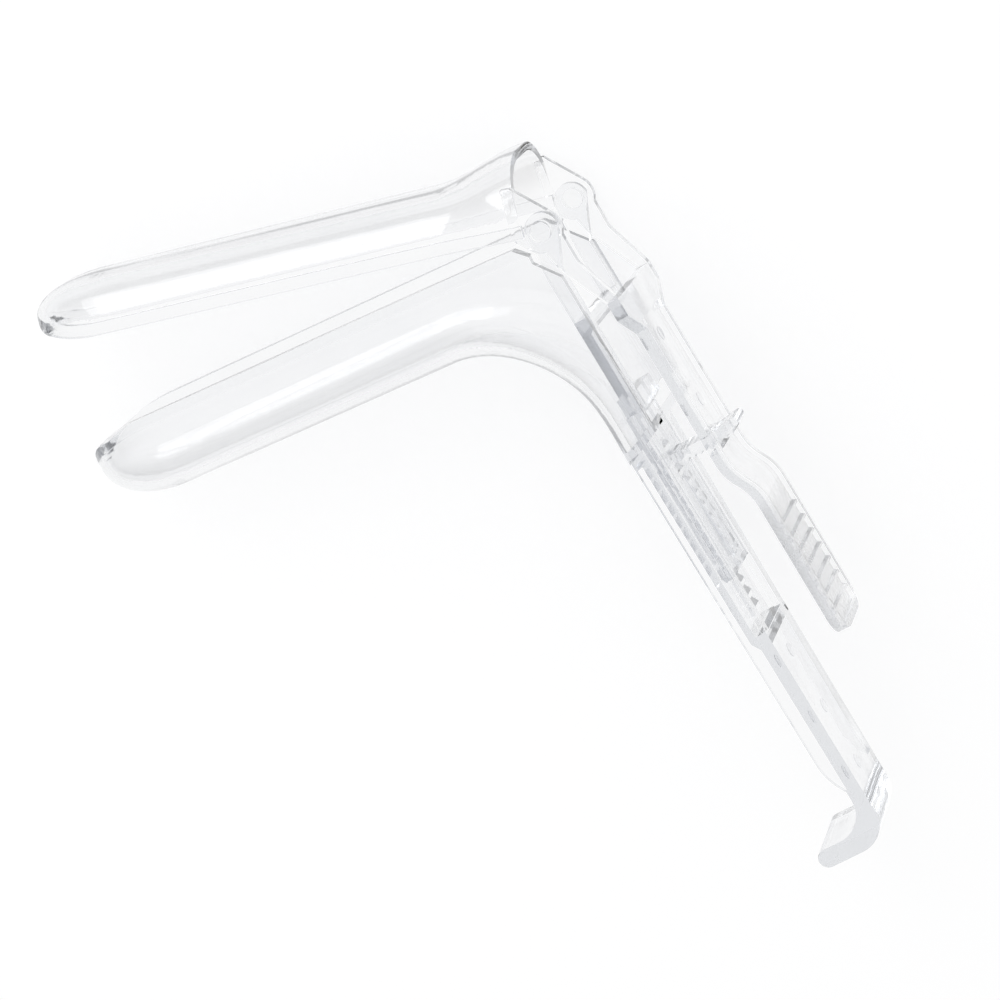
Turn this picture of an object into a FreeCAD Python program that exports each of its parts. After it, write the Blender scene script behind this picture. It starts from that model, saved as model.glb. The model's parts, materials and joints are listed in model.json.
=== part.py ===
import FreeCAD, Part
import math
import os
import re

from FreeCAD import Placement, Rotation, Vector

# Bivalve speculum, clear moulded plastic, three mouldings: the lower blade with its handle, a yoke
# that slides on the handle, and the upper blade with its thumb lever, hinged on the yoke.
#
# The instrument lies on its side. X runs along the lower blade, tips towards -X; Y runs up from the
# handle to the blades; Z is up from the table. The hinge axis is parallel to Z through X = Y = 0,
# and Z = 0 is the table, which the far end of the hinge pin touches.
#
# Millimetres and degrees throughout.

DRIVING_SIZES = [
    # Walls and fits
    ("wall", 1.8, "wall of the blades and of the handle's sides"),
    ("bead", 3.0, "width of the rounded bead along the blades' rims"),
    ("bead_height", 2.4, "height of that bead"),
    ("slide_gap", 0.3, "clearance between parts that slide or swing past each other"),
    ("pin_gap", 0.05, "radial clearance of the hinge pins in their holes"),
    # Blades and mouth
    ("blade_length", 113, "from the mouth's rear rim to the tips"),
    ("mouth_half", 17, "half width over the mouth"),
    ("root_half", 14.2, "half width of a blade where it leaves the mouth"),
    ("tip_half", 12.5, "half width of a blade where its nose begins"),
    ("nose_length", 17, "length of a blade's rounded nose"),
    ("mouth_back", 4, "from the hinge axis forward to the mouth's rear rim"),
    ("rim_drop", 1.3, "lower rims below the hinge axis"),
    ("rim_gap", 0.6, "gap between the rims when the blades are closed"),
    ("keel_round", 11, "corner radius of the lower blade's cross section"),
    ("nose_drop", 7.5, "tip of the lower nose below its rims"),
    ("nose_rise", 5, "tip of the upper nose above its rims"),
    ("lower_depth", 17.8, "lower rim to its keel"),
    ("upper_depth", 11.8, "upper rim to its crown"),
    ("mouth_height", 16, "upper rim to the top of the mouth's arch"),
    ("flare_length", 20, "length over which the upper blade flares into the mouth"),
    # Throat and handle
    ("throat_radius", 26, "outer radius of the bend from lower blade to handle"),
    ("throat_reach", 28.7, "from the mouth's rear rim forward to the bend's centre"),
    ("handle_lean", 5, "degrees by which the handle leans back from square to the blade"),
    ("handle_length", 105.5, "from the end of the bend to the underside of the foot"),
    ("handle_depth", 5.8, "front to rear of the handle"),
    ("handle_top_half", 12.2, "half width of the handle at its top"),
    ("handle_foot_half", 10.2, "half width of the handle at its foot"),
    ("cheek_depth", 9.4, "front of the bend to the rear edge of its cheeks"),
    ("cheek_end", 5, "cheeks' lower end below the end of the bend, at the rear edge"),
    ("cheek_slope", 24, "degrees by which the cheeks' lower end slopes down to the front"),
    ("lower_web", 3.2, "thickness of the handle's web below the guide"),
    ("foot_reach", 16.4, "how far the foot curls forward of the handle's rear face"),
    ("heel_radius", 7, "outer radius of the handle's turn into the foot"),
    ("foot_thickness", 4.2, "thickness of the foot's toe"),
    # Guide on the rear of the handle
    ("guide_half", 8.2, "half width between the guide's lips"),
    ("guide_undercut", 1.0, "how far the lips overhang the guide's floor"),
    ("guide_depth", 3.0, "rear face of the handle to the guide's floor"),
    ("lip_thickness", 1.5, "thickness of the guide's lips"),
    ("guide_end", 54, "guide's lower end below the end of the bend"),
    ("web_thickness", 1.5, "web between the guide and the channel in front"),
    ("rack_pitch", 3, "pitch of the rack teeth on the guide's floor"),
    ("rack_tooth", 0.8, "height of those teeth"),
    ("rack_half", 3, "half width of the rack"),
    # Yoke
    ("leg_width", 3.4, "front to rear of the yoke's legs"),
    ("leg_thickness", 2.2, "thickness of the yoke's legs"),
    ("ear_radius", 3.6, "radius of the yoke's ears round the hinge"),
    ("pin_radius", 2.2, "radius of the hinge pins"),
    ("pin_proud", 0.6, "how far the pins stand out of the upper blade's ears"),
    ("aperture_drop", 20, "hinge axis down to the yoke's cross bar"),
    ("plate_thickness", 1.6, "thickness of the yoke's plate below the cross bar"),
    ("shoe_length", 41, "length of the shoe that runs in the guide"),
    ("pawl_half", 2.6, "half width of the shoe's spring pawl"),
    ("pawl_length", 19, "length of that pawl"),
    ("strap_radius", 56, "radius of the ratchet strap about the hinge axis"),
    ("strap_thickness", 2.0, "thickness of the strap without its teeth"),
    ("strap_half", 4, "half width of the strap"),
    ("strap_proud", 3.5, "how far the strap stands out behind the lever at rest"),
    ("strap_tooth", 0.8, "height of the strap's teeth"),
    # Upper blade's ears and lever
    ("open_rest", 11, "degrees by which the blades stand open, as modelled"),
    ("lever_rake", 16, "degrees between the lever and square to the upper blade"),
    ("upper_ear_radius", 4.5, "radius of the upper blade's ears round the hinge"),
    ("ear_root", 2, "from the mouth's rear rim forward to where the ears' front edge starts"),
    ("relief_gap", 1.4, "gap between that edge and the lower rims' rear ends"),
    ("lever_half", 10, "half width of the lever"),
    ("lever_front", 4.2, "hinge axis back to the lever's front face"),
    ("bar_drop", 19.5, "hinge axis down to the lever's cross bar"),
    ("lever_plate", 1.6, "thickness of the lever's plate"),
    ("lever_rib", 1.0, "height of the ribs along the lever's rear edges"),
    ("rib_width", 1.5, "width of those ribs"),
    ("lever_length", 104, "hinge axis down to the end of the thumb pad"),
    ("pad_start", 72, "hinge axis down to the top of the thumb pad"),
    ("pad_set_back", 3.4, "how far the thumb pad stands back of the lever"),
    ("ridge_pitch", 3.5, "pitch of the thumb pad's grip ridges"),
    ("ridge_height", 0.8, "height of those ridges"),
]

document = FreeCAD.newDocument("speculum")
sheet = document.addObject("Spreadsheet::Sheet", "Sizes")
for row, (alias, value, meaning) in enumerate(DRIVING_SIZES, start=1):
    sheet.set(f"A{row}", meaning)
    sheet.set(f"B{row}", str(value))
    sheet.setAlias(f"B{row}", alias)

# Sizes that follow from the driving ones.
DERIVED_SIZES = [
    ("ear_inner", "=mouth_half - wall", "inner face of the upper blade's ears"),
    ("leg_outer", "=ear_inner - slide_gap", "outer face of the yoke's legs"),
    ("leg_inner", "=leg_outer - leg_thickness", "inner face of the yoke's legs"),
    ("mid_height", "=mouth_half + pin_proud", "table up to the instrument's middle plane"),
    ("pin_end", "=mouth_half + pin_proud", "middle plane out to the pins' ends"),
    ("pin_hole", "=pin_radius + pin_gap", "radius of the holes for the pins"),
    ("upper_turn", "=-open_rest", "turn of the upper blade about the hinge"),
    ("lever_turn", "=lever_rake - open_rest", "turn of the lever about the hinge"),
]
for row, (alias, formula, meaning) in enumerate(DERIVED_SIZES, start=len(DRIVING_SIZES) + 1):
    sheet.set(f"A{row}", meaning)
    sheet.set(f"B{row}", formula)
    sheet.setAlias(f"B{row}", alias)
document.recompute()
ALIASES = [alias for alias, *rest in DRIVING_SIZES + DERIVED_SIZES]


def size(alias):
    return float(sheet.get(alias))


def turned(x, y, degrees):
    angle = math.radians(degrees)
    return (x * math.cos(angle) - y * math.sin(angle), x * math.sin(angle) + y * math.cos(angle))


# Places that several pieces share, in the middle plane.
RIM = -size("rim_drop")
MOUTH = -size("mouth_back")
KEEL = RIM - size("lower_depth")
BEND_X = MOUTH - size("throat_reach")
BEND_Y = KEEL - size("throat_radius")
LEAN = size("handle_lean")
BEND_END = 90 - LEAN
# The handle's own axes start where the bend ends: x to the rear, y up along the handle.
HANDLE_X = BEND_X + size("throat_radius") * math.sin(math.radians(BEND_END))
HANDLE_Y = BEND_Y + size("throat_radius") * math.cos(math.radians(BEND_END))
HINGE_X, HINGE_Y = turned(-HANDLE_X, -HANDLE_Y, -LEAN)
BIG = 2 * size("blade_length")


# Helpers for bodies and sketches

def bind(thing, property_name, formula):
    """Binds a property to a formula of the sheet's sizes."""
    for alias in sorted(ALIASES, key=len, reverse=True):
        formula = re.sub(rf"\b{alias}\b", "Sizes." + alias, formula)
    thing.setExpression(property_name, formula)


def new_body(name, x=0.0, y=0.0, turn="0"):
    body = document.addObject("PartDesign::Body", name)
    body.Placement = Placement(Vector(x, y, 0), Rotation(Vector(0, 0, 1), 0))
    bind(body, "Placement.Base.z", "mid_height")
    bind(body, "Placement.Rotation.Angle", turn)
    return body


def handle_body(name):
    return new_body(name, HANDLE_X, HANDLE_Y, "handle_lean")


def lever_body(name):
    return new_body(name, turn="lever_turn")


def new_sketch(body, role, offset=None):
    sketch = body.newObject("Sketcher::SketchObject", body.Name + "_sketch")
    plane = next(item for item in body.Origin.OriginFeatures if item.Role == role)
    sketch.AttachmentSupport = (plane, [""])
    sketch.MapMode = "FlatFace"
    if offset is not None:
        sketch.AttachmentOffset = offset
    return sketch


def draw(sketch, start, *steps):
    """Closes a loop. A step is an end point; an arc's middle and end; or a curve's two poles and end."""
    here = Vector(*start)
    for step in steps + (start,):
        if isinstance(step[0], tuple) and len(step) == 3:
            poles = [here, *(Vector(*pole) for pole in step)]
            end = poles[-1]
            curve = Part.BSplineCurve()
            curve.buildFromPolesMultsKnots(poles, [4, 4], [0, 1], False, 3)
            sketch.addGeometry(curve, False)
        elif isinstance(step[0], tuple):
            middle, end = Vector(*step[0]), Vector(*step[1])
            sketch.addGeometry(Part.Arc(here, middle, end), False)
        else:
            end = Vector(*step)
            if end.distanceToPoint(here) < 1e-6:
                continue
            sketch.addGeometry(Part.LineSegment(here, end), False)
        here = end


def draw_box(sketch, x_low, y_low, x_high, y_high):
    draw(sketch, (x_low, y_low), (x_high, y_low), (x_high, y_high), (x_low, y_high))


def draw_circle(sketch, x, y, radius):
    sketch.addGeometry(Part.Circle(Vector(x, y, 0), Vector(0, 0, 1), radius), False)


def quarter(centre, start, end):
    """Two arcs that follow a quarter of an ellipse, from start on one axis to end on the other."""
    def at(degrees):
        along = math.cos(math.radians(degrees))
        aside = math.sin(math.radians(degrees))
        return tuple(
            middle + along * (first - middle) + aside * (last - middle)
            for middle, first, last in zip(centre, start, end)
        )
    return [(at(22.5), at(45)), (at(67.5), at(90))]


def across(body, sketch, width, kind="Pad"):
    """Pad or pocket of a side profile, width wide and centred on the middle plane."""
    feature = body.newObject("PartDesign::" + kind, body.Name + "_" + kind.lower())
    feature.Profile = sketch
    feature.Midplane = True
    bind(feature, "Length", width)
    document.recompute()
    return feature


def through(body, sketch):
    """Pocket both ways through all that is there."""
    pocket = body.newObject("PartDesign::Pocket", body.Name + "_cut")
    pocket.Profile = sketch
    pocket.Midplane = True
    pocket.Length = 2 * BIG
    document.recompute()
    return pocket


def boolean(kind, name, base, *tools):
    result = document.addObject("Part::" + kind, name)
    if kind == "MultiFuse":
        result.Shapes = [base, *tools]
        result.Refine = True
    else:
        result.Base = base
        result.Tool = tools[0]
    document.recompute()
    return result


def repeat(body, feature, axis_role, count, pitch):
    """A row of copies of a feature along one of the body's axes."""
    pattern = body.newObject("PartDesign::LinearPattern", body.Name + "_row")
    pattern.Originals = [feature]
    axis = next(item for item in body.Origin.OriginFeatures if item.Role == axis_role)
    pattern.Direction = (axis, [""])
    pattern.Length = pitch * (count - 1)
    pattern.Occurrences = count
    body.Tip = pattern
    document.recompute()


def side_pair(name, make_body, outline, low, high):
    """A side profile padded between two distances from the middle plane, on both sides of it."""
    whole = make_body(name + "_outer")
    across(whole, outline(new_sketch(whole, "XY_Plane")), f"2 * ({high})")
    middle = make_body(name + "_inner")
    across(middle, outline(new_sketch(middle, "XY_Plane")), f"2 * ({low})")
    return boolean("Cut", name, whole, middle)


# Scoop forms: cross sections with a flat open side and rounded corners at the keel or crown

def section(body, x, y, tilt, half, corner):
    """One cross section. x, y is its keel point; its open side faces up, turned by tilt to +X."""
    spin = Rotation(Vector(0, 1, 0), -tilt)
    sketch = new_sketch(body, "YZ_Plane", Placement(Vector(y, 0, x), spin))
    pull = 0.45 * corner
    draw(
        sketch, (0, corner - half), (0, half - corner),
        ((0, half - pull), (pull, half), (corner, half)),
        (OVER, half), (OVER, -half), (corner, -half),
        ((pull, -half), (0, pull - half), (0, corner - half)),
    )
    return sketch


def scoop(name, nose, root, turn="0"):
    """A curved nose, a straight run from the nose's last station to the root's first, a curved root."""
    body = new_body(name, turn=turn)
    sections = [section(body, *station) for station in nose + root]
    count = len(nose)
    for span, ruled in ((sections[:count], False), (sections[count - 1:count + 1], True), (sections[count:], False)):
        loft = body.newObject("PartDesign::AdditiveLoft", name + "_loft")
        loft.Profile = span[0]
        loft.Sections = span[1:]
        loft.Ruled = ruled
        document.recompute()
    return body


def smooth(share):
    """Goes from 0 to 1 with no slope at either end."""
    share = min(1, max(0, share))
    return share**2 * (3 - 2 * share)


def nose_stations(level, keel, tilt, round_off, inset):
    """The rounded nose: an ellipse in plan, with its keel drawn to the level of the tip."""
    stations = []
    for share in (0.012, 0.12, 0.36, 0.66, 0.92, 1.0):
        swell = math.sqrt(1 - (1 - share) ** 2)
        half = (size("tip_half") - inset) * swell
        corner = min(round_off - inset, 0.86 * half)
        x = TIP + inset + share * size("nose_length")
        stations.append((x, level + (keel - level) * swell, tilt, half, corner))
    return stations


def rim_line(rim, nose, end):
    """A rim seen from the side: from ahead of the tip, round the nose, and back along the blade."""
    ahead = (TIP - 5, nose)
    return [ahead, (TIP, nose), *quarter((NOSE_BACK, nose), (TIP, nose), (NOSE_BACK, rim)), end]


def on_handle(x, y):
    """A point given along the handle's own axes."""
    turned_x, turned_y = turned(x, y, LEAN)
    return (HANDLE_X + turned_x, HANDLE_Y + turned_y)


TIP = MOUTH - size("blade_length")
NOSE_BACK = TIP + size("nose_length")
LOWER_NOSE = RIM - size("nose_drop")
UPPER_RIM = RIM + size("rim_gap")
UPPER_NOSE = UPPER_RIM + size("nose_rise")
CROWN = UPPER_RIM + size("upper_depth")
OVER = 30


# Lower blade with handle

def lower_scoop(name, inset):
    """Lower blade, mouth and bend to the handle, all around one keel line."""
    keel = KEEL + inset
    round_off = size("keel_round")
    nose = nose_stations(LOWER_NOSE, keel, 0, round_off, inset)
    radius = size("throat_radius") + inset
    flare = size("mouth_half") - size("root_half")
    root = []
    for share in (0.0, 0.05, 0.25, 0.5, 0.75, 1.0):
        tilt = share * BEND_END
        half = size("root_half") + flare * smooth(share / 0.5)
        corner = round_off * (1 - 0.55 * share)
        x = BEND_X + radius * math.sin(math.radians(tilt))
        y = BEND_Y + radius * math.cos(math.radians(tilt))
        root.append((x, y, tilt, half - inset, corner - inset))
    down_x, down_y = turned(0, -OVER / 2, LEAN)
    x, y, tilt, half, corner = root[-1]
    root.append((x + down_x, y + down_y, tilt, half, corner))
    return scoop(name, nose, root)


def cheek_foot(x, lift=0.0):
    """A point on the cheeks' sloping lower end, x behind the front of the bend."""
    slope = math.tan(math.radians(size("cheek_slope")))
    return on_handle(x, lift - size("cheek_end") - (size("cheek_depth") - x) * slope)


def ear_front():
    """The upper ears' straight front edge: from the rim down to where it meets their circle."""
    ear = size("upper_ear_radius")
    root = MOUTH - size("ear_root")
    bearing = math.atan2(UPPER_RIM, root) + math.acos(ear / math.hypot(root, UPPER_RIM))
    return (root, UPPER_RIM), (ear * math.cos(bearing), ear * math.sin(bearing))


def lower_side(name, drop):
    """Side profile of what stays of the lower scoop, its rims lowered by drop."""
    body = new_body(name)
    relief = size("upper_ear_radius") + size("slide_gap")
    rear = -math.sqrt(relief**2 - RIM**2)
    (root, level), (foot, bottom) = ear_front()
    slope = (bottom - level) / (foot - root)
    rim_end = root - size("relief_gap") / math.sin(math.atan(-slope)) + (RIM - level) / slope
    cheek = size("cheek_depth")
    end = (rim_end - drop / slope, RIM - drop)
    start, *rims = rim_line(RIM - drop, LOWER_NOSE - drop, end)
    below = KEEL - 8
    sketch = new_sketch(body, "XY_Plane")
    draw(
        sketch, start, *rims, (rear, RIM + slope * (rear - rim_end)), (rear, RIM - 4),
        on_handle(cheek, 0.76 * HINGE_Y),
        cheek_foot(cheek), cheek_foot(-4), (BEND_X - 6, BEND_Y), (BEND_X - 6, below), (start[0], below),
    )
    across(body, sketch, "3 * mouth_half")
    return body


def room_side():
    """Everything above the floor that closes the cheeks' lower end."""
    body = new_body("room_side")
    floor = size("wall") / math.cos(math.radians(size("cheek_slope")))
    sketch = new_sketch(body, "XY_Plane")
    draw(
        sketch, cheek_foot(-BIG / 4, floor), cheek_foot(OVER, floor),
        (BIG, 0), (BIG, BIG), (-BIG, BIG), (-BIG, -BIG / 4),
    )
    across(body, sketch, "3 * mouth_half")
    return body


def taper_outline(body, inset):
    """Trims a handle body to the handle's tapering width, less inset on each side."""
    length = size("handle_length")
    top = size("handle_top_half") - inset
    foot = size("handle_foot_half") - inset
    sketch = new_sketch(body, "YZ_Plane")
    for side in (1, -1):
        draw(
            sketch, (5, side * top), (0, side * top), (-length, side * foot),
            (-length - 5, side * foot), (-length - 5, side * 2 * top), (5, side * 2 * top),
        )
    through(body, sketch)


def handle_form():
    """The handle below the bend, with its foot curled forward, before its hollows."""
    body = handle_body("handle_form")
    depth = size("handle_depth")
    length = size("handle_length")
    toe = size("foot_thickness")
    toe_end = depth - size("foot_reach") + toe / 2
    heel = size("heel_radius")
    web = depth - size("lower_web")
    curl = -length + toe
    ease = 1 - math.sqrt(0.5)
    top = size("wall") / 2 - size("cheek_end")
    slope = math.tan(math.radians(size("cheek_slope")))
    sketch = new_sketch(body, "XY_Plane")
    draw(
        sketch, (0, top - size("cheek_depth") * slope), (0, curl + 2.6 * heel),
        ((0.3 * web, curl + 1.8 * heel), (web, curl + 1.3 * heel)), (web, curl + heel),
        ((web - ease * heel, curl + ease * heel), (web - heel, curl)),
        (toe_end, curl), ((toe_end - toe / 2, curl - toe / 2), (toe_end, -length)),
        (depth - heel, -length),
        ((depth - ease * heel, -length + ease * heel), (depth, -length + heel)),
        (depth, top - (size("cheek_depth") - depth) * slope),
    )
    across(body, sketch, "2 * handle_top_half")
    taper_outline(body, 0)
    return body


def front_channel():
    body = handle_body("front_channel")
    depth = size("handle_depth")
    front = depth - size("guide_depth") - size("web_thickness")
    web = depth - size("lower_web")
    top = -size("cheek_end") - 6
    guide_end = -size("guide_end")
    bottom = -size("handle_length") + size("foot_thickness") + size("heel_radius")
    sketch = new_sketch(body, "XY_Plane")
    draw(
        sketch, (-5, top - 1.5), (front, top), (front, guide_end - 1), (web, guide_end - 3),
        (web, bottom), (-5, bottom),
    )
    across(body, sketch, "2 * handle_top_half")
    taper_outline(body, size("wall"))
    return body


def guide():
    """The T-shaped guide that the yoke's shoe runs in, open at the top."""
    depth = size("handle_depth")
    floor = depth - size("guide_depth")
    top = size("cheek_end")
    slot = handle_body("guide_slot")
    sketch = new_sketch(slot, "XY_Plane")
    draw_box(sketch, floor, -size("guide_end"), size("cheek_depth") + 2, top)
    across(slot, sketch, "2 * guide_half")
    undercut = handle_body("guide_undercuts")
    sketch = new_sketch(undercut, "XY_Plane")
    draw_box(sketch, floor, -size("guide_end"), depth - size("lip_thickness"), top)
    across(undercut, sketch, "2 * (guide_half + guide_undercut)")
    return [slot, undercut]


def rack():
    """Ratchet teeth on the guide's floor, square below and sloping above."""
    body = handle_body("rack")
    floor = size("handle_depth") - size("guide_depth")
    pitch = size("rack_pitch")
    root = floor - 0.3
    crest = floor + size("rack_tooth")
    first = -size("guide_end") + pitch
    sketch = new_sketch(body, "XY_Plane")
    draw(sketch, (root, first), (crest, first), (crest, first + 0.3 * pitch), (root, first + pitch))
    pad = across(body, sketch, "2 * rack_half")
    count = int((size("guide_end") - size("cheek_end") - 6) // pitch)
    repeat(body, pad, "Y_Axis", count, pitch)
    return body


def lower_blade_handle():
    outer = lower_scoop("lower_outer", 0)
    form = boolean("Common", "lower_form", outer, lower_side("lower_side", 0))
    room = boolean("Common", "lower_room", lower_scoop("lower_inner", size("wall")), room_side())
    shell = boolean("Cut", "lower_shell", form, room)
    strip = boolean("Cut", "lower_strip", form, lower_side("lower_below_bead", size("bead_height")))
    bead = boolean("Cut", "lower_bead", strip, lower_scoop("lower_bead_room", size("bead")))
    whole = boolean("MultiFuse", "lower_whole", shell, bead, handle_form())
    hollows = boolean("MultiFuse", "lower_hollows", front_channel(), *guide())
    opened = boolean("Cut", "lower_opened", whole, hollows)
    return boolean("MultiFuse", "lower_blade_handle", opened, rack())


# Yoke

def leg_outline(sketch):
    """A leg with its ear round the hinge, seen from the side, along the handle's axes."""
    front = size("handle_depth") + size("slide_gap")
    rear = front + size("leg_width")
    ear = size("ear_radius")
    shoulder = HINGE_Y - 2.6 * ear
    draw(
        sketch, (front, 0), (front, shoulder), (HINGE_X - ear, HINGE_Y),
        ((HINGE_X, HINGE_Y + ear), (HINGE_X + ear, HINGE_Y)), (rear, shoulder), (rear, 0),
    )
    return sketch


def pin_outline(sketch):
    draw_circle(sketch, HINGE_X, HINGE_Y, size("pin_radius"))
    return sketch


def yoke_plate():
    """The plate between the legs, with the cross bar under the viewing opening at its top."""
    body = handle_body("yoke_plate")
    front = size("handle_depth") + size("slide_gap")
    rear = front + size("plate_thickness")
    top = HINGE_Y - size("aperture_drop")
    bar = front + size("leg_width")
    sketch = new_sketch(body, "XY_Plane")
    draw(sketch, (front, 0), (front, top), (bar, top), (bar, top - 2), (rear, top - 3.5), (rear, 0))
    across(body, sketch, "2 * leg_inner + 0.4")
    return body


def shoe():
    """The shoe in the handle's guide, with a groove under it that clears the rack."""
    gap = size("slide_gap")
    depth = size("handle_depth")
    floor = depth - size("guide_depth") + gap
    lip = depth - size("lip_thickness") - gap
    back = depth - gap
    length = size("shoe_length")
    front = size("handle_depth") + gap
    base = handle_body("shoe_base")
    sketch = new_sketch(base, "XY_Plane")
    draw(sketch, (floor, -length + 1), (floor, -1), (lip, -1), (lip, -length), (floor + 0.5, -length))
    across(base, sketch, "2 * (guide_half + guide_undercut - slide_gap)")
    slider = handle_body("shoe_slider")
    sketch = new_sketch(slider, "XY_Plane")
    draw(
        sketch, (floor, -length + 1), (floor, 3), (front + size("plate_thickness"), 3),
        (front + size("plate_thickness"), -1), (back, -2.5), (back, -length), (floor + 0.5, -length),
    )
    across(slider, sketch, "2 * (guide_half - slide_gap)")
    groove = handle_body("shoe_groove")
    crest = depth - size("guide_depth") + size("rack_tooth") + gap
    sketch = new_sketch(groove, "XY_Plane")
    draw_box(sketch, floor - 1, -length - 1, crest, 4)
    across(groove, sketch, "2 * (rack_half + slide_gap)")
    window = handle_body("pawl_window")
    sketch = new_sketch(window, "XY_Plane")
    draw_box(sketch, floor - 1, -length + 2.5, back + 1, -length + 2.5 + size("pawl_length") + 1)
    across(window, sketch, "2 * (rack_half + slide_gap)")
    body = boolean("MultiFuse", "shoe_body", base, slider)
    return boolean("Cut", "shoe", body, boolean("MultiFuse", "shoe_hollows", groove, window))


def pawl():
    """The spring pawl in the shoe's window, drawn lifted clear of the rack."""
    body = handle_body("pawl")
    gap = size("slide_gap")
    depth = size("handle_depth")
    crest = depth - size("guide_depth") + size("rack_tooth") + gap
    thickness = depth - gap - crest
    foot = -size("shoe_length") + 2.5 + 1
    head = foot + size("pawl_length") + 1
    tooth = size("rack_tooth")
    sketch = new_sketch(body, "XY_Plane")
    draw(
        sketch, (crest, head), (crest + tooth, foot + 3), (crest, foot + 1), (crest + tooth / 2, foot),
        (crest + tooth + thickness, foot), (crest + thickness, head),
    )
    across(body, sketch, "2 * pawl_half")
    return body


def at_hinge(radius, degrees):
    """A point on a circle round the hinge, degrees to the rear of straight below it."""
    angle = math.radians(degrees)
    return (HINGE_X + radius * math.sin(angle), HINGE_Y - radius * math.cos(angle))


def strap():
    """The ratchet strap: an arc round the hinge from the shoe through the lever's window."""
    body = handle_body("strap")
    radius = size("strap_radius")
    inner = radius - size("strap_thickness") / 2
    outer = radius + size("strap_thickness") / 2
    crest = outer + size("strap_tooth")
    lever_rear = size("lever_front") + size("lever_plate") + size("lever_rib")
    end = math.degrees(math.asin((lever_rear + size("strap_proud")) / radius))
    start = -math.degrees(math.asin((HINGE_X - size("handle_depth") + 1.2) / radius))
    first = math.degrees(math.asin((size("handle_depth") + 1.5 - HINGE_X) / radius))
    pitch = 1.6
    teeth = int((end - first) / pitch)
    sketch = new_sketch(body, "XY_Plane")
    steps = [at_hinge(outer, first)]
    for tooth in range(teeth):
        angle = first + tooth * pitch
        steps += [at_hinge(crest, angle + 0.75 * pitch), at_hinge(outer, angle + pitch)]
    steps += [
        at_hinge(outer, end), (at_hinge(radius, end + 1), at_hinge(inner, end)),
        (at_hinge(inner, (start + end) / 2), at_hinge(inner, start)),
    ]
    draw(sketch, at_hinge(outer, start), *steps)
    across(body, sketch, "2 * strap_half")
    return body


def slide_yoke():
    legs = side_pair("yoke_legs", handle_body, leg_outline, "leg_inner", "leg_outer")
    pins = side_pair("hinge_pins", handle_body, pin_outline, "leg_inner", "pin_end")
    return boolean("MultiFuse", "slide_yoke", legs, pins, yoke_plate(), shoe(), pawl(), strap())


# Upper blade with lever

def upper_scoop(name, inset):
    """Upper blade and mouth, around its crown line, as it lies on the lower blade when closed."""
    crown = CROWN - inset
    round_off = 0.9 * size("upper_depth")
    nose = nose_stations(UPPER_NOSE, crown, 180, round_off, inset)
    flare_start = MOUTH - size("flare_length")
    root = []
    rise = size("mouth_height") - size("upper_depth")
    flare = size("mouth_half") - size("root_half")
    for share in (0.0, 0.1, 0.35, 0.6, 0.85, 1.2):
        swell = smooth(share)
        x = flare_start + share * size("flare_length")
        half = size("root_half") + flare * swell
        corner = round_off + 0.6 * rise * swell
        root.append((x, crown + rise * swell, 180, half - inset, corner - inset))
    return scoop(name, nose, root, "upper_turn")


def upper_side(name, lift):
    """Side profile of what stays of the upper scoop, its rims raised by lift."""
    body = new_body(name, turn="upper_turn")
    start, *rims = rim_line(UPPER_RIM + lift, UPPER_NOSE + lift, (MOUTH, UPPER_RIM + lift))
    sketch = new_sketch(body, "XY_Plane")
    draw(sketch, start, *rims, (MOUTH, OVER), (start[0], OVER))
    across(body, sketch, "3 * mouth_half")
    return body


def upper_body(name):
    return new_body(name, turn="upper_turn")


def ear_outline(sketch):
    """An ear behind the mouth's foot, round the hinge."""
    ear = size("upper_ear_radius")
    start, foot = ear_front()
    draw(
        sketch, start, foot, ((0, -ear), (ear, 0)),
        ((0.94 * ear, 0.35 * ear), (0.7 * ear, 0.72 * ear)), (MOUTH, 2.2 * ear), (start[0], 2.2 * ear),
    )
    return sketch


def bar_outline(sketch):
    """A side bar of the lever, from the hinge to the lever's cross bar."""
    front = size("lever_front")
    rear = front + size("lever_plate") + size("lever_rib")
    drop = size("bar_drop")
    ear = size("upper_ear_radius")
    draw(
        sketch, (-0.35 * ear, -0.8 * ear), (-0.1 * ear, -0.48 * drop), (front, -drop), (front, -drop - 4),
        (rear, -drop - 4), (rear, -drop), (0.76 * ear, -0.46 * drop), (0.8 * ear, -0.35 * ear),
    )
    return sketch


def bend_steps(x_start, y_start, x_end, y_end):
    """Two arcs that shift a vertical line sideways, tangent at both ends."""
    half_width = (x_end - x_start) / 2
    half_height = (y_end - y_start) / 2
    radius = (half_width**2 + half_height**2) / (2 * half_width)
    angle = math.asin(abs(half_height / radius)) / 2
    across_step = radius * (1 - math.cos(angle))
    along = math.copysign(abs(radius) * math.sin(angle), half_height)
    middle = (x_start + half_width, y_start + half_height)
    return [
        ((x_start + across_step, y_start + along), middle),
        ((x_end - across_step, y_end - along), (x_end, y_end)),
    ]


def lever_profile(sketch, front, rear):
    """A slice of the lever from its cross bar to the end of its thumb pad."""
    step = size("pad_set_back")
    top = -size("bar_drop")
    bend = 12 - size("pad_start")
    pad = -size("pad_start")
    end = -size("lever_length")
    draw(
        sketch, (front, top), (front, bend), *bend_steps(front, bend, front + step, pad),
        (front + step, end), (rear + step, end), (rear + step, pad),
        *bend_steps(rear + step, pad, rear, bend), (rear, top),
    )


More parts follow.
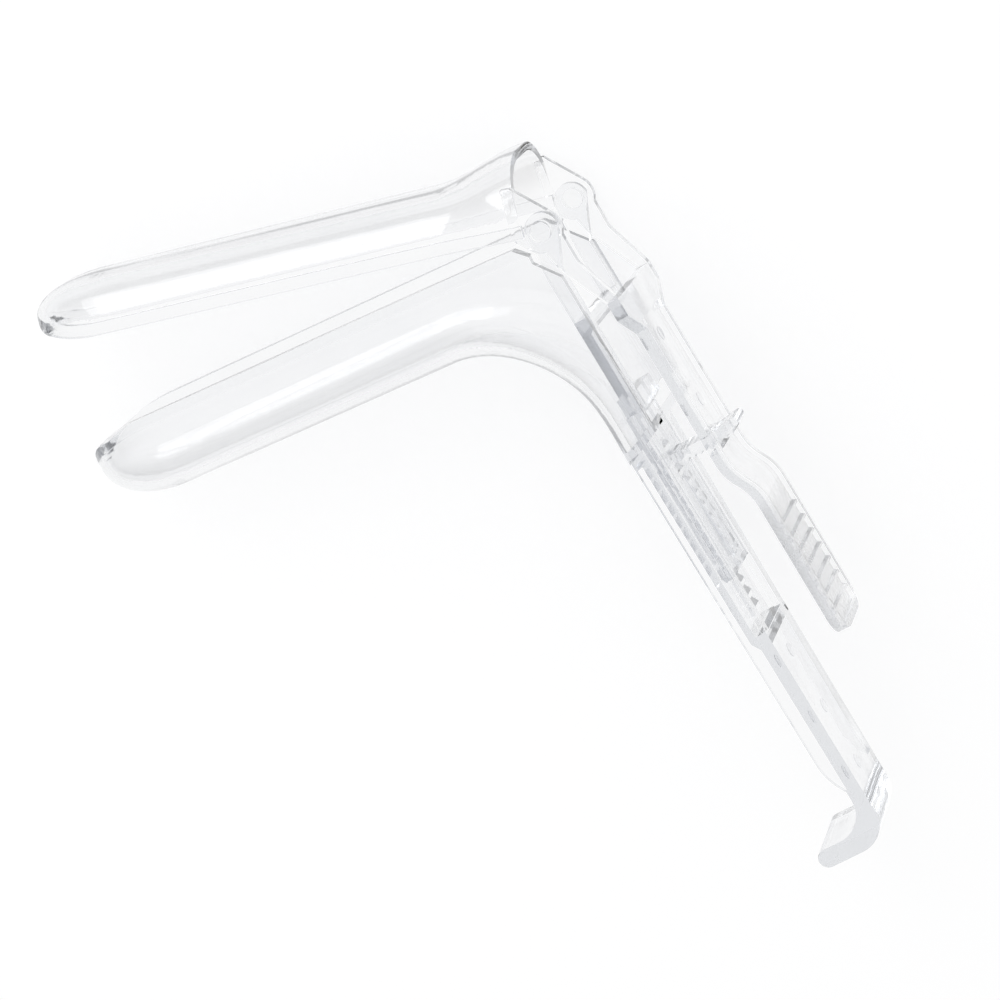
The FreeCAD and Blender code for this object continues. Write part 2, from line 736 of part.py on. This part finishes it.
def lever_plate():
    body = lever_body("lever_plate")
    front = size("lever_front")
    middle = front + size("lever_plate")
    rear = middle + size("lever_rib")
    sketch = new_sketch(body, "XY_Plane")
    lever_profile(sketch, front, rear)
    across(body, sketch, "2 * mouth_half")
    outline = new_sketch(body, "YZ_Plane")
    half = size("lever_half")
    wide = size("mouth_half") + 1
    neck = -size("bar_drop") - 4
    end = -size("lever_length")
    corner = 0.45 * half
    ease = corner * (1 - math.sqrt(0.5))
    for side in (1, -1):
        draw(
            outline, (neck, side * wide), (neck, side * (wide - 1)), (neck - 5, side * half),
            (end + corner, side * half),
            ((end + ease, side * (half - ease)), (end, side * (half - corner))),
            (end - 1, side * (half - corner)), (end - 1, side * wide),
        )
    through(body, outline)
    recess = new_sketch(body, "XY_Plane")
    step = size("pad_set_back")
    rib = size("rib_width")
    bend = 12 - size("pad_start")
    pad = -size("pad_start")
    draw(
        recess, (middle, neck - 3), (middle, bend), *bend_steps(middle, bend, middle + step, pad),
        (middle + step, end + rib), (rear + step + 1, end + rib), (rear + step + 1, neck - 3),
    )
    across(body, recess, "2 * (lever_half - rib_width)", "Pocket")
    return body


def lever_window():
    """The window that the ratchet strap passes through."""
    body = lever_body("lever_window")
    inner = size("strap_radius") - size("strap_thickness") / 2 - 2 * size("slide_gap")
    outer = size("strap_radius") + size("strap_thickness") / 2 + size("strap_tooth")
    sketch = new_sketch(body, "XY_Plane")
    draw_box(sketch, -2, -outer - 3 * size("slide_gap"), 12, -inner)
    across(body, sketch, "2 * strap_half + 4 * slide_gap")
    return body


def lever_latch():
    """The edge in the window's lower side that the strap's teeth catch on."""
    body = lever_body("lever_latch")
    front = size("lever_front")
    bottom = -size("strap_radius") - size("strap_thickness") / 2 - size("strap_tooth")
    reach = bottom - size("slide_gap") + 0.15
    base = bottom - 4 * size("slide_gap")
    sketch = new_sketch(body, "XY_Plane")
    draw(sketch, (front, base), (front + 1.6, base), (front + 0.3, reach), (front, reach))
    across(body, sketch, "2 * strap_half")
    return body


def grip_ridges():
    body = lever_body("grip_ridges")
    face = size("lever_front") + size("pad_set_back") + size("lever_plate")
    pitch = size("ridge_pitch")
    first = -size("lever_length") + 1.2 * pitch
    sketch = new_sketch(body, "XY_Plane")
    draw(
        sketch, (face - 0.2, first), (face + size("ridge_height"), first + 0.15 * pitch),
        (face + size("ridge_height"), first + 0.3 * pitch), (face - 0.2, first + 0.45 * pitch),
    )
    pad = across(body, sketch, "2 * (lever_half - rib_width) + 0.4")
    count = int((size("lever_length") - size("pad_start") - 1.5 * pitch) // pitch)
    repeat(body, pad, "Y_Axis", count, pitch)
    return body


def upper_blade_lever():
    outer = upper_scoop("upper_outer", 0)
    form = boolean("Common", "upper_form", outer, upper_side("upper_side", 0))
    shell = boolean("Cut", "upper_shell", form, upper_scoop("upper_inner", size("wall")))
    strip = boolean("Cut", "upper_strip", form, upper_side("upper_above_bead", size("bead_height")))
    bead = boolean("Cut", "upper_bead", strip, upper_scoop("upper_bead_room", size("bead")))
    ears = side_pair("upper_ears", upper_body, ear_outline, "ear_inner", "mouth_half")
    bars = side_pair("lever_bars", lever_body, bar_outline, "ear_inner", "mouth_half")
    plate = boolean("Cut", "lever_with_window", lever_plate(), lever_window())
    solid = boolean(
        "MultiFuse", "upper_whole", shell, bead, ears, bars, plate, lever_latch(), grip_ridges()
    )
    holes = new_body("pin_holes")
    sketch = new_sketch(holes, "XY_Plane")
    draw_circle(sketch, 0, 0, size("pin_hole"))
    across(holes, sketch, "3 * mouth_half")
    return boolean("Cut", "upper_blade_lever", solid, holes)


# Build, check and write

def write(pieces):
    document.recompute()
    failed = [item.Name for item in document.Objects if {"Invalid", "Error"} & set(item.State)]
    if failed:
        raise SystemExit("failed: " + ", ".join(failed))
    os.makedirs("parts", exist_ok=True)
    for piece in pieces:
        piece.Label = piece.Name
        shape = piece.Shape
        if shape.isNull() or not shape.isValid() or len(shape.Solids) != 1:
            raise SystemExit(f"{piece.Label} is not one valid solid")
        print(piece.Label, round(shape.Volume), "mm3", shape.BoundBox)
        shape.exportStep(f"parts/{piece.Label}.step")


write([lower_blade_handle(), slide_yoke(), upper_blade_lever()])
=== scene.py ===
# %% [markdown]
# A clear plastic bivalve speculum lying on a white table. It is three mouldings: a lower blade
# with its handle, a yoke that slides on the handle, and an upper blade with its thumb lever.
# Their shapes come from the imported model. This lesson gives them clear plastic, adds the small
# marks that their moulds leave, and sets up the table, the light and the camera.

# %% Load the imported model
import json
import math

import bmesh
import bpy
from mathutils import Matrix, Vector


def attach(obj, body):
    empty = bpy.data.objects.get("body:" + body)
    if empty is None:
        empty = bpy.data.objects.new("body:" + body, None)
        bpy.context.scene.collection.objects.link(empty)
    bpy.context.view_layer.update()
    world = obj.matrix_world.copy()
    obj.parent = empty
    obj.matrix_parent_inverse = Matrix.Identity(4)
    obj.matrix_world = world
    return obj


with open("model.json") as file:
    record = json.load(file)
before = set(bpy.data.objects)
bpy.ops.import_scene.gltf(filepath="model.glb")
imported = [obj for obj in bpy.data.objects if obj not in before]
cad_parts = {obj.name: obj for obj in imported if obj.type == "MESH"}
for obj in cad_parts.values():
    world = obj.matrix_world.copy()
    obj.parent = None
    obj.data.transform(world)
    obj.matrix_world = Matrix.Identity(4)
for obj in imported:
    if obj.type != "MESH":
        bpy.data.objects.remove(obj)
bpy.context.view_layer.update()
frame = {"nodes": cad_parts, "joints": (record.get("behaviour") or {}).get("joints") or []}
nodes = frame["nodes"]
MM = 0.001
MIDDLE = frame["joints"][1]["pos_m"][2]
print("pieces:", ", ".join(sorted(nodes)))
print("the instrument's middle plane is", round(MIDDLE / MM, 1), "mm above the table")

# %% [markdown]
# A node graph is easier to read as a sum. This small class wraps one socket of a node, so that
# 0.05 + 0.2 * smudge adds the Math nodes that work it out. Its node method adds any other node.

# %% Shader maths as Python
class Wire:
    """One output socket of a node tree."""

    def __init__(self, tree, socket):
        self.tree = tree
        self.socket = socket

    @classmethod
    def node(cls, tree, kind, settings=None, sockets=None, stops=(), output=0):
        """Adds a node, sets it up, and fills its sockets with values or wires."""
        node = tree.nodes.new(kind)
        for name, value in (settings or {}).items():
            setattr(node, name, value)
        for number, (position, grey) in enumerate(stops):
            element = node.color_ramp.elements[number]
            element.position = position
            element.color = (grey, grey, grey, 1)
        for name, value in (sockets or {}).items():
            if isinstance(value, Wire):
                tree.links.new(value.socket, node.inputs[name])
            else:
                node.inputs[name].default_value = value
        return cls(tree, node.outputs[output] if node.outputs else None)

    def math(self, operation, first, second):
        return Wire.node(self.tree, "ShaderNodeMath", {"operation": operation}, {0: first, 1: second})

    def __add__(self, other):
        return self.math("ADD", self, other)

    def __sub__(self, other):
        return self.math("SUBTRACT", self, other)

    def __rsub__(self, other):
        return self.math("SUBTRACT", other, self)

    def __mul__(self, other):
        return self.math("MULTIPLY", self, other)

    __radd__ = __add__
    __rmul__ = __mul__


def new_material(name):
    """A material with an empty node tree, and that tree."""
    material = bpy.data.materials.new(name)
    material.use_nodes = True
    material.node_tree.nodes.clear()
    return material, material.node_tree


def path_light(tree, *kinds):
    """1 for light that arrives along one of these kinds of ray, 0 for the rest."""
    rays = [Wire.node(tree, "ShaderNodeLightPath", output=f"Is {kind} Ray") for kind in kinds]
    return sum(rays[1:], rays[0])


def path_over(tree, turns):
    """1 for light that has turned more often than this, 0 for the rest."""
    depth = Wire.node(tree, "ShaderNodeLightPath", output="Ray Depth")
    return depth.math("GREATER_THAN", depth, turns)


# %% [markdown]
# The instrument is moulded in water-clear plastic. On a white table it shows by its edges: light
# that runs along inside a wall comes out dimmer, so edges, ribs and corners look grey while
# broad faces stay nearly white. A Principled shader that transmits bends the light, and an
# absorption inside the solid does the greying, so it comes by itself wherever the plastic is
# deep. Glass in Cycles stops lamps, and its shadow would be as dark as metal's. A Mix Shader
# lets the lamps and the table's own light pass instead, tinted a little at each wall.
#
# Light that turns many times inside a wall's edge comes out grey in the real thing. Cycles gives
# up on it, which leaves black specks, so a second Mix Shader lets it out dimmed after a few turns.
#
# The surface isn't perfect. The plastic flowed in from a gate and froze, which leaves long faint
# waves along each moulding, and handling leaves soft smudges. A stretched noise drives a Bump
# node for the waves, and a second noise varies the roughness and the colour for the smudges.

# %% Clear moulded plastic
BENDING = 1.49
GREYING = 55.0
INSIDE_TINT = (0.815, 0.825, 0.843, 1)
WALL_TINT = (0.925, 0.93, 0.938, 1)
EDGE_TINT = (0.92, 0.923, 0.93, 1)
MOST_TURNS = 5

WAVE_STRETCH = 0.25
WAVE_SCALE = 95.0
WAVE_STRENGTH = 0.3
WAVE_DEPTH = 0.0005

SMUDGE_SCALE = 45.0
SMUDGE_STOPS = ((0.42, 0), (0.78, 1))
CLEAN_ROUGHNESS = 0.05
SMUDGE_ROUGHNESS = 0.07
CLEAN_COLOUR = (0.975, 0.977, 0.981, 1)
SMUDGED_COLOUR = (0.952, 0.956, 0.963, 1)

STIPPLE_SCALE = 1400.0
STIPPLE_ROUGHNESS = 0.18
STIPPLE_HEIGHT = 0.35


def clear_plastic(name, flow_angle, touched=None):
    """Clear plastic whose waves run at flow_angle degrees from X, in the plane of the table."""
    material, tree = new_material(name)
    place = Wire.node(tree, "ShaderNodeTexCoord", output="Object")
    along = Wire.node(tree, "ShaderNodeMapping", sockets={
        "Vector": place, "Rotation": (0, 0, math.radians(-flow_angle)), "Scale": (WAVE_STRETCH, 1, 1),
    })
    waves = Wire.node(tree, "ShaderNodeTexNoise", sockets={
        "Vector": along, "Scale": WAVE_SCALE, "Detail": 1.0, "Roughness": 0.4,
    })
    smudges = Wire.node(tree, "ShaderNodeTexNoise", sockets={
        "Vector": place, "Scale": SMUDGE_SCALE, "Detail": 4.0, "Roughness": 0.6,
    })
    dulled = Wire.node(tree, "ShaderNodeValToRGB", sockets={"Fac": smudges}, stops=SMUDGE_STOPS)
    roughness = CLEAN_ROUGHNESS + SMUDGE_ROUGHNESS * dulled
    height = waves
    if touched:
        mask = touched(tree, place)
        grain = Wire.node(tree, "ShaderNodeTexNoise", sockets={
            "Vector": place, "Scale": STIPPLE_SCALE, "Detail": 1.0,
        })
        roughness = roughness + STIPPLE_ROUGHNESS * mask
        height = height + STIPPLE_HEIGHT * mask * grain
    colour = Wire.node(tree, "ShaderNodeMix", {"data_type": "RGBA"}, {
        0: dulled, 6: CLEAN_COLOUR, 7: SMUDGED_COLOUR,
    }, output=2)
    bumps = Wire.node(tree, "ShaderNodeBump", sockets={
        "Strength": WAVE_STRENGTH, "Distance": WAVE_DEPTH, "Height": height,
    })
    plastic = Wire.node(tree, "ShaderNodeBsdfPrincipled", sockets={
        "Base Color": colour, "Roughness": roughness, "IOR": BENDING,
        "Transmission Weight": 1.0, "Normal": bumps,
    })
    dimmed = Wire.node(tree, "ShaderNodeBsdfTransparent", sockets={"Color": EDGE_TINT})
    edged = Wire.node(tree, "ShaderNodeMixShader", sockets={
        0: path_over(tree, MOST_TURNS), 1: plastic, 2: dimmed,
    })
    passing = Wire.node(tree, "ShaderNodeBsdfTransparent", sockets={"Color": WALL_TINT})
    surface = Wire.node(tree, "ShaderNodeMixShader", sockets={
        0: path_light(tree, "Shadow", "Diffuse"), 1: edged, 2: passing,
    })
    inside = Wire.node(tree, "ShaderNodeVolumeAbsorption", sockets={
        "Color": INSIDE_TINT, "Density": GREYING,
    })
    Wire.node(tree, "ShaderNodeOutputMaterial", sockets={"Surface": surface, "Volume": inside})
    return material


# %% [markdown]
# The thumb pushes the lever's lower end, and its mould is stippled there so that it doesn't
# slip. The mask is a soft step down the lever: 0 above the pad and 1 on it. Object coordinates
# carry it, so the stipple stays on the pad when the lever swings.

# %% Where the thumb pushes
PAD_TOP = -70 * MM
PAD_FADE = 4 * MM


def thumb_pad(tree, place):
    """0 above the thumb pad, 1 on it."""
    height = Wire.node(tree, "ShaderNodeSeparateXYZ", sockets={0: place}, output="Y")
    return Wire.node(tree, "ShaderNodeMapRange", sockets={
        "Value": height, "From Min": PAD_TOP, "From Max": PAD_TOP - PAD_FADE,
    })


# %% Give each moulding its plastic
finishes = {
    "lower_blade_handle": clear_plastic("clear_plastic_lower", 12),
    "slide_yoke": clear_plastic("clear_plastic_yoke", 95),
    "upper_blade_lever": clear_plastic("clear_plastic_upper", -11, thumb_pad),
}
for name, material in finishes.items():
    for slot in nodes[name].material_slots:
        slot.material = material
    print(name, "has", len(nodes[name].data.polygons), "triangles of", material.name)

# %% [markdown]
# A mould pushes its part out with round pins, and each pin leaves a shallow ring on a face that
# the hand doesn't meet. The rings could be bumps in the material, but a ring has a crisp edge
# that bends light, so each is a low disc: a cylinder whose end is inset and pushed in, with its
# edges bevelled. It starts in the plastic and stands less than a tenth of a millimetre out of it.

# %% One mark of an ejector pin
RING_HEIGHT = 0.08
RING_LIP = 0.2
RING_DISH = 0.8
RING_BEVEL = 0.03
SHARP_ANGLE = math.radians(35)


def finish_edges(piece, width):
    """Rounds a piece's edges with a bevel, and shades its faces smooth between sharp edges."""
    bevel = piece.modifiers.new("rounded_edges", "BEVEL")
    bevel.width = width * MM
    bevel.segments = 2
    bpy.ops.object.modifier_apply(modifier=bevel.name)
    bpy.ops.object.shade_smooth_by_angle(angle=SHARP_ANGLE)


def ejector_ring(name, spot, facing, radius, body, material):
    """A shallow ring round spot, on a face that looks along facing."""
    bpy.ops.object.select_all(action="DESELECT")
    turn = Vector((0, 0, 1)).rotation_difference(facing).to_euler()
    bpy.ops.mesh.primitive_cylinder_add(
        vertices=48, radius=radius * MM, depth=2 * RING_HEIGHT * MM, location=spot, rotation=turn,
    )
    ring = bpy.context.object
    ring.name = name
    bpy.ops.object.mode_set(mode="EDIT")
    mesh = bmesh.from_edit_mesh(ring.data)
    for face in mesh.faces:
        face.select_set(face.normal.z > 0.9)
    bmesh.update_edit_mesh(ring.data)
    bpy.ops.mesh.inset(thickness=RING_LIP * radius * MM)
    bpy.ops.transform.translate(value=facing * (-RING_DISH * RING_HEIGHT * MM))
    bpy.ops.object.mode_set(mode="OBJECT")
    bpy.ops.object.transform_apply(location=True, rotation=True, scale=True)
    finish_edges(ring, RING_BEVEL)
    ring.data.materials.clear()
    ring.data.materials.append(material)
    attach(ring, body)
    print(name, "has", len(ring.data.polygons), "faces")


# %% [markdown]
# The handle leans back from square to the lower blade, and the lever leans with it at rest. The
# rings are easier to place along those leaning faces, so this turns a distance to the rear and a
# distance up the handle into a point of the frame.

# %% Rings inside the handle's channel and in the lever's recess
LEAN = math.radians(5)
REAR = Vector((math.cos(LEAN), math.sin(LEAN), 0))
UP = Vector((-math.sin(LEAN), math.cos(LEAN), 0))
HANDLE_TOP = Vector((-6.80 * MM, -42.83 * MM, MIDDLE))
HINGE = Vector((0, 0, MIDDLE))
WEB_FRONT = 2.6
HANDLE_RING_RADIUS = 1.6
HANDLE_RING_HEIGHTS = (-62, -76, -90)
RECESS_FLOOR = 5.8
LEVER_RING_RADIUS = 1.5
LEVER_RING_HEIGHTS = (-32, -48)

for number, height in enumerate(HANDLE_RING_HEIGHTS, start=1):
    spot = HANDLE_TOP + (WEB_FRONT * REAR + height * UP) * MM
    ejector_ring(
        f"handle_ejector_ring_{number}", spot, -REAR, HANDLE_RING_RADIUS, "lower_blade_handle",
        finishes["lower_blade_handle"],
    )
for number, height in enumerate(LEVER_RING_HEIGHTS, start=1):
    spot = HINGE + (RECESS_FLOOR * REAR + height * UP) * MM
    ejector_ring(
        f"lever_ejector_ring_{number}", spot, REAR, LEVER_RING_RADIUS, "upper_blade_lever",
        finishes["upper_blade_lever"],
    )

# %% [markdown]
# The table is plain and white. A photographer lights such a table until it is almost pure white,
# and the shadow on it is faint. A Mix Shader does that here: to the camera, and through the
# plastic, a part of the table is its own white, and the rest is what falls on it, shadow and all.

# %% Table
OWN_WHITE = 0.62
TABLE_SIZE = 6
TABLE_COLOUR = (0.94, 0.94, 0.945, 1)


def white_table():
    bpy.ops.object.select_all(action="DESELECT")
    bpy.ops.mesh.primitive_plane_add(size=TABLE_SIZE, location=(0, 0, 0))
    table = bpy.context.object
    table.name = "white_table"
    material, tree = new_material("white_table_top")
    lit = Wire.node(tree, "ShaderNodeBsdfDiffuse", sockets={"Color": TABLE_COLOUR})
    own = Wire.node(tree, "ShaderNodeEmission", sockets={"Color": (1, 1, 1, 1), "Strength": 1.0})
    seen = path_light(tree, "Camera", "Glossy", "Transmission")
    mixed = Wire.node(tree, "ShaderNodeMixShader", sockets={0: OWN_WHITE * seen, 1: lit, 2: own})
    Wire.node(tree, "ShaderNodeOutputMaterial", sockets={"Surface": mixed})
    table.data.materials.append(material)
    return table


print("table:", white_table().name)

# %% [markdown]
# The photograph looks down on the lying instrument, a little from its handle's rear, and the
# picture is turned so that the blades point to the lower left. The camera is given in the
# instrument's own terms: how far round to the rear, how far up the handle, and the turn.

# %% Camera
CAMERA_ROUND = math.radians(19.3)
CAMERA_UP = math.radians(9.7)
CAMERA_TURN = math.radians(26.7)
CAMERA_DISTANCE = 0.75
CAMERA_LENS = 127.5
SENSOR_WIDTH = 36
LOOK_AT = Vector((-39.3, -50.2, 17.6)) * MM

towards = Vector((
    math.sin(CAMERA_ROUND) * math.cos(CAMERA_UP),
    math.sin(CAMERA_UP),
    math.cos(CAMERA_ROUND) * math.cos(CAMERA_UP),
))
level = Vector((0, 1, 0)).cross(towards).normalized()
upright = towards.cross(level)
right = math.cos(CAMERA_TURN) * level - math.sin(CAMERA_TURN) * upright
above = math.sin(CAMERA_TURN) * level + math.cos(CAMERA_TURN) * upright

pose = Matrix((right, above, towards)).transposed().to_4x4()
pose.translation = LOOK_AT + CAMERA_DISTANCE * towards
lens = bpy.data.cameras.new("photo_camera")
lens.lens = CAMERA_LENS
lens.sensor_width = SENSOR_WIDTH
lens.clip_start = 0.05
camera = bpy.data.objects.new("photo_camera", lens)
bpy.context.scene.collection.objects.link(camera)
camera.matrix_world = pose
bpy.context.scene.camera = camera
print("camera at", [round(value, 3) for value in pose.translation])

# %% [markdown]
# One large soft lamp hangs above the picture's upper left, so the faint shadows fall to the lower
# right. Its mirror image in the blades is the long soft highlight along their crowns.

# %% Lamp
LAMP_SIDE = 0.7
LAMP_DISTANCE = 1.0
LAMP_POWER = 3.5
LAMP_LEFT = 0.9
LAMP_ABOVE = 0.8

toward_lamp = (towards - LAMP_LEFT * right + LAMP_ABOVE * above).normalized()
softbox = bpy.data.lights.new("softbox", "AREA")
softbox.shape = "SQUARE"
softbox.size = LAMP_SIDE
softbox.energy = LAMP_POWER
lamp = bpy.data.objects.new("softbox", softbox)
bpy.context.scene.collection.objects.link(lamp)
lamp.location = LOOK_AT + LAMP_DISTANCE * toward_lamp
lamp.rotation_mode = "QUATERNION"
lamp.rotation_quaternion = toward_lamp.to_track_quat("Z", "Y")
print("lamp at", [round(value, 3) for value in lamp.location])

# %% [markdown]
# Clear plastic has no look of its own, only what it reflects and bends. The room is pure white to
# the camera, and white on the lamp's side of the plastic. A photographer keeps the other side
# darker, because a clear thing in an all-white room has no edges: its walls turn some of that
# darkness to the eye, and the sides away from the lamp are drawn in grey. The room's share of the
# light on the table stays even, so the shadows stay soft.

# %% Room, seen and as a light
ROOM_LIGHT = 0.93
DARK_SIDE = 0.15
DARK_FROM = -0.45
WHITE_FROM = 0.6


def white_room():
    world = bpy.data.worlds.new("white_room")
    bpy.context.scene.world = world
    world.use_nodes = True
    tree = world.node_tree
    tree.nodes.clear()
    direction = Wire.node(tree, "ShaderNodeTexCoord", output="Generated")
    lampward = Wire.node(tree, "ShaderNodeVectorMath", {"operation": "DOT_PRODUCT"}, {
        0: direction, 1: toward_lamp,
    }, output="Value")
    shade = Wire.node(tree, "ShaderNodeMapRange", {"interpolation_type": "SMOOTHSTEP"}, {
        "Value": lampward, "From Min": DARK_FROM, "From Max": WHITE_FROM, "To Min": DARK_SIDE,
    })
    camera = path_light(tree, "Camera")
    through_plastic = path_light(tree, "Glossy", "Transmission")
    rest = 1 - camera - through_plastic
    light = Wire.node(tree, "ShaderNodeBackground", sockets={
        "Color": (1, 1, 1, 1), "Strength": camera + through_plastic * shade + ROOM_LIGHT * rest,
    })
    Wire.node(tree, "ShaderNodeOutputWorld", sockets={"Surface": light})
    return world


print("world:", white_room().name)

# %% [markdown]
# Standard colour shows each shade about as it is written.

# %% Colour
bpy.context.scene.view_settings.view_transform = "Standard"
